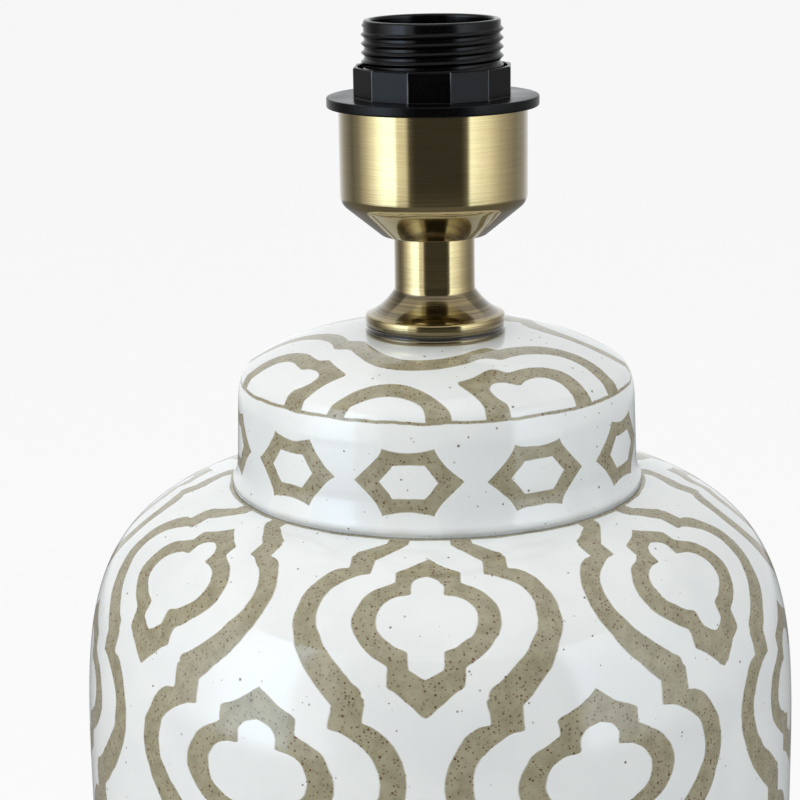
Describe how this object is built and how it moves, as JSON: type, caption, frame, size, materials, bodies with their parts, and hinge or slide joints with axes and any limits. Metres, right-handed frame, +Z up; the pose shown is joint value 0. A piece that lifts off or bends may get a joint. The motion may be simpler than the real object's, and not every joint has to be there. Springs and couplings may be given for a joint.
{
  "type": "ceramic table lamp",
  "caption": "Ginger-jar table lamp base in patterned glazed stoneware, with a brass neck and cup and a screw lampholder with a shade ring.",
  "frame": {"origin": "on the table under the middle of the jar, in the plane of the rubber feet", "axes": "+Z up along the lamp's axis, -Y to the front, +Y to the back where the cord leaves"},
  "size_m": [0.2094, 0.2094, 0.42],
  "materials": {
    "white_glaze": "glossy white glaze over a bare tan stoneware pattern",
    "antique_brass": "brushed, darkened and lacquered",
    "black_plastic": "moulded, satin",
    "black_rubber": "matt",
    "grey_fibre": "pressed fibre",
    "zinc_steel": "zinc plated",
    "white_insulator": "unglazed",
    "bright_brass": "plain",
    "contact_bronze": "plain"
  },
  "bodies": {
    "lamp_base": {"ceramic_jar": "white_glaze", "rubber_feet": "black_rubber", "cord_bush": "black_plastic", "neck_gasket": "grey_fibre", "neck_spindle": "antique_brass", "threaded_tube": "zinc_steel", "inner_rubber_washer": "black_rubber", "inner_plate_washer": "zinc_steel", "inner_lock_washer": "zinc_steel", "inner_hex_nut": "zinc_steel", "lampholder_cup": "antique_brass", "cup_lock_washer": "zinc_steel", "cup_lock_nut": "zinc_steel", "lampholder_cap": "black_plastic", "cap_set_screw": "zinc_steel", "contact_carrier": "white_insulator", "centre_terminal": "bright_brass", "side_terminal": "bright_brass", "terminal_screws": "zinc_steel"},
    "lampholder_skirt": {"lampholder_skirt": "black_plastic"},
    "shade_ring": {"shade_ring": "black_plastic"},
    "centre_contact": {"centre_contact_leaf": "contact_bronze"},
    "side_contact": {"side_contact_leaf": "contact_bronze"}
  },
  "joints": [
    {"name": "skirt_lift", "type": "slide", "parent": "lamp_base", "child": "lampholder_skirt", "axis": [0, 0, 1], "range_m": [0, 0.03]},
    {"name": "shade_ring_lift", "type": "slide", "parent": "lampholder_skirt", "child": "shade_ring", "axis": [0, 0, 1], "range_m": [0, 0.03]},
    {"name": "centre_contact_press", "type": "hinge", "parent": "lamp_base", "child": "centre_contact", "pos_m": [-0.0074, 0, 0.38635], "axis": [0, 1, 0], "range_deg": [0, 12], "stiffness_Nm_per_rad": 0.1},
    {"name": "side_contact_press", "type": "hinge", "parent": "lamp_base", "child": "side_contact", "pos_m": [0.0126, 0, 0.38635], "axis": [0, 1, 0], "range_deg": [0, 7], "stiffness_Nm_per_rad": 0.1}
  ]
}
